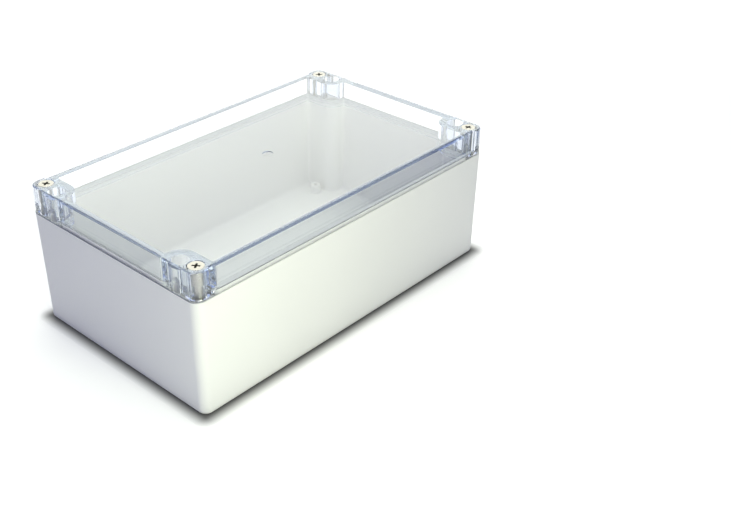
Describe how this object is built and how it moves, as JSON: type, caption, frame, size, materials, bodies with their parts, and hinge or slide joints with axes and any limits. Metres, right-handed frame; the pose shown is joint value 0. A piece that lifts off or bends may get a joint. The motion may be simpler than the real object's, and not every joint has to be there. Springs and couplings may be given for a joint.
{
  "type": "clear-lid wall enclosure",
  "caption": "Rectangular moulded enclosure with a light grey base and a clear lid held by captive corner screws, with wells for wall screws under the lid's corners.",
  "frame": {"origin": "middle of the flat back face of the base, which lies on the wall in use", "axes": "+Z out of the lid, X along the length, Y across the width"},
  "size_m": [0.2, 0.12, 0.075],
  "materials": {
    "base_plastic": "fine satin moulding",
    "clear_plastic": "polished clear",
    "seal_rubber": "soft matt",
    "brass": "turned",
    "stainless": "satin",
    "ring_rubber": "matt"
  },
  "bodies": {
    "base": {"base": "base_plastic", "insert_front_left": "brass", "insert_front_right": "brass", "insert_back_left": "brass", "insert_back_right": "brass"},
    "lid": {"lid": "clear_plastic", "gasket": "seal_rubber"},
    "ring_front_left": {"retaining_ring_front_left": "ring_rubber"},
    "ring_front_right": {"retaining_ring_front_right": "ring_rubber"},
    "ring_back_left": {"retaining_ring_back_left": "ring_rubber"},
    "ring_back_right": {"retaining_ring_back_right": "ring_rubber"},
    "screw_front_left": {"lid_screw_front_left": "stainless"},
    "screw_front_right": {"lid_screw_front_right": "stainless"},
    "screw_back_left": {"lid_screw_back_left": "stainless"},
    "screw_back_right": {"lid_screw_back_right": "stainless"}
  },
  "joints": [
    {"name": "lid_lift", "type": "slide", "parent": "base", "child": "lid", "axis": [0, 0, 1], "range_m": [0, 0.04]},
    {"name": "rise_front_left", "type": "slide", "parent": "lid", "child": "ring_front_left", "axis": [0, 0, 1], "range_m": [0, 0.006]},
    {"name": "rise_front_right", "type": "slide", "parent": "lid", "child": "ring_front_right", "axis": [0, 0, 1], "range_m": [0, 0.006]},
    {"name": "rise_back_left", "type": "slide", "parent": "lid", "child": "ring_back_left", "axis": [0, 0, 1], "range_m": [0, 0.006]},
    {"name": "rise_back_right", "type": "slide", "parent": "lid", "child": "ring_back_right", "axis": [0, 0, 1], "range_m": [0, 0.006]},
    {"name": "turn_front_left", "type": "hinge", "parent": "ring_front_left", "child": "screw_front_left", "pos_m": [-0.0937, -0.0537, 0.0746], "axis": [0, 0, 1], "range_deg": [0, 3086]},
    {"name": "turn_front_right", "type": "hinge", "parent": "ring_front_right", "child": "screw_front_right", "pos_m": [0.0937, -0.0537, 0.0746], "axis": [0, 0, 1], "range_deg": [0, 3086]},
    {"name": "turn_back_left", "type": "hinge", "parent": "ring_back_left", "child": "screw_back_left", "pos_m": [-0.0937, 0.0537, 0.0746], "axis": [0, 0, 1], "range_deg": [0, 3086]},
    {"name": "turn_back_right", "type": "hinge", "parent": "ring_back_right", "child": "screw_back_right", "pos_m": [0.0937, 0.0537, 0.0746], "axis": [0, 0, 1], "range_deg": [0, 3086]}
  ],
  "couplings": [
    {"joint": "turn_front_left", "follows": "rise_front_left", "rad_per_m": 8976},
    {"joint": "turn_front_right", "follows": "rise_front_right", "rad_per_m": 8976},
    {"joint": "turn_back_left", "follows": "rise_back_left", "rad_per_m": 8976},
    {"joint": "turn_back_right", "follows": "rise_back_right", "rad_per_m": 8976}
  ]
}
